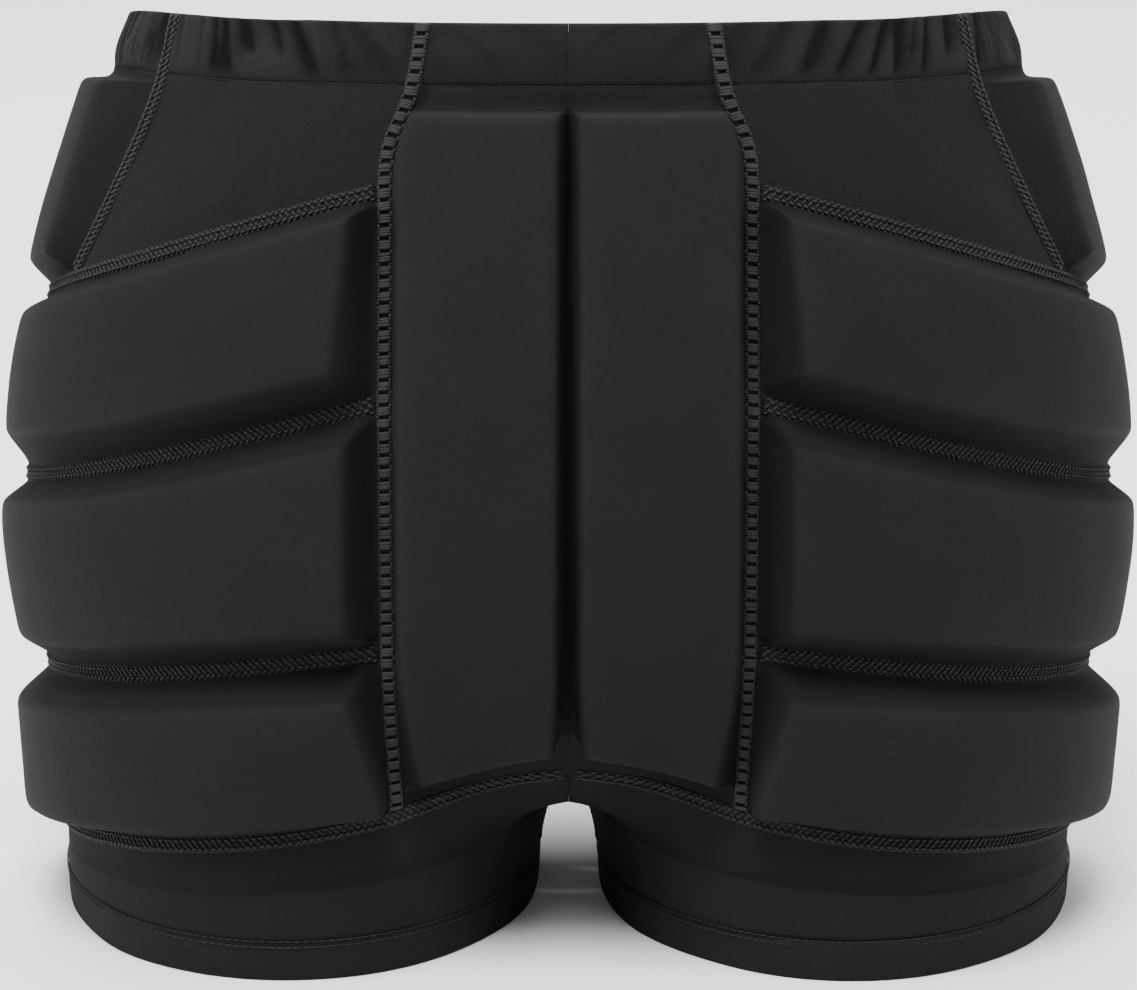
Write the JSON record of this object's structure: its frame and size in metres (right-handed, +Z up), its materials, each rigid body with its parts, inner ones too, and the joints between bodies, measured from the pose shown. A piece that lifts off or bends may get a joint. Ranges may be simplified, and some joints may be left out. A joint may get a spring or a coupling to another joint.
{
  "type": "padded impact shorts",
  "caption": "Close-fitting stretch shorts with thick foam pads under fabric covers on the seat, hips and outer thighs, an elastic waistband and plain legs.",
  "frame": {"origin": "centre of the base: midway between the two hems, in the plane they stand on", "axes": "+Z up from hems to waist; the seat faces -Y and the wearer faces +Y; +X is the wearer's right, across the hips, the longest extent"},
  "size_m": [0.4052, 0.2567, 0.3222],
  "materials": {
    "body_knit": "matt four-way stretch knit",
    "pad_cover_knit": "matt four-way stretch knit, moulded over the pads",
    "covering_thread": "slightly glossy textured thread",
    "lining_mesh": "matt warp-knit mesh",
    "elastic_band": "woven elastic",
    "pad_foam": "closed-cell foam",
    "label_tape": "blank woven tape"
  },
  "bodies": {
    "root": {"centre_front_seam": "covering_thread", "front_panel_left": "body_knit", "front_panel_right": "body_knit", "front_seam_left": "covering_thread", "front_seam_right": "covering_thread", "hem_band_left": "body_knit", "hem_band_right": "body_knit", "hem_stitching_left": "covering_thread", "hem_stitching_right": "covering_thread", "hip_cover_left": "pad_cover_knit", "hip_cover_right": "pad_cover_knit", "hip_pad_left": "pad_foam", "hip_pad_right": "pad_foam", "hip_seam_left": "covering_thread", "hip_seam_right": "covering_thread", "inseam_left": "covering_thread", "inseam_right": "covering_thread", "leg_panel_left": "body_knit", "leg_panel_right": "body_knit", "leg_seam_left": "covering_thread", "leg_seam_right": "covering_thread", "lower_seam_left": "covering_thread", "lower_seam_right": "covering_thread", "middle_seam_left": "covering_thread", "middle_seam_right": "covering_thread", "pad_lining_left": "lining_mesh", "pad_lining_right": "lining_mesh", "seat_cover_left": "pad_cover_knit", "seat_cover_right": "pad_cover_knit", "seat_pad_left": "pad_foam", "seat_pad_right": "pad_foam", "seat_seam_left": "covering_thread", "seat_seam_right": "covering_thread", "side_lower_cover_left": "pad_cover_knit", "side_lower_cover_right": "pad_cover_knit", "side_lower_pad_left": "pad_foam", "side_lower_pad_right": "pad_foam", "side_middle_cover_left": "pad_cover_knit", "side_middle_cover_right": "pad_cover_knit", "side_middle_pad_left": "pad_foam", "side_middle_pad_right": "pad_foam", "side_upper_cover_left": "pad_cover_knit", "side_upper_cover_right": "pad_cover_knit", "side_upper_pad_left": "pad_foam", "side_upper_pad_right": "pad_foam", "size_label": "label_tape", "upper_seam_left": "covering_thread", "upper_seam_right": "covering_thread", "waist_elastic": "elastic_band", "waist_stitching": "covering_thread", "waistband_front_left": "body_knit", "waistband_front_right": "body_knit", "waistband_seat_left": "body_knit", "waistband_seat_right": "body_knit", "waistband_side_left": "body_knit", "waistband_side_right": "body_knit", "waistband_yoke_left": "body_knit", "waistband_yoke_right": "body_knit", "yoke_panel_left": "body_knit", "yoke_panel_right": "body_knit"}
  },
  "joints": []
}
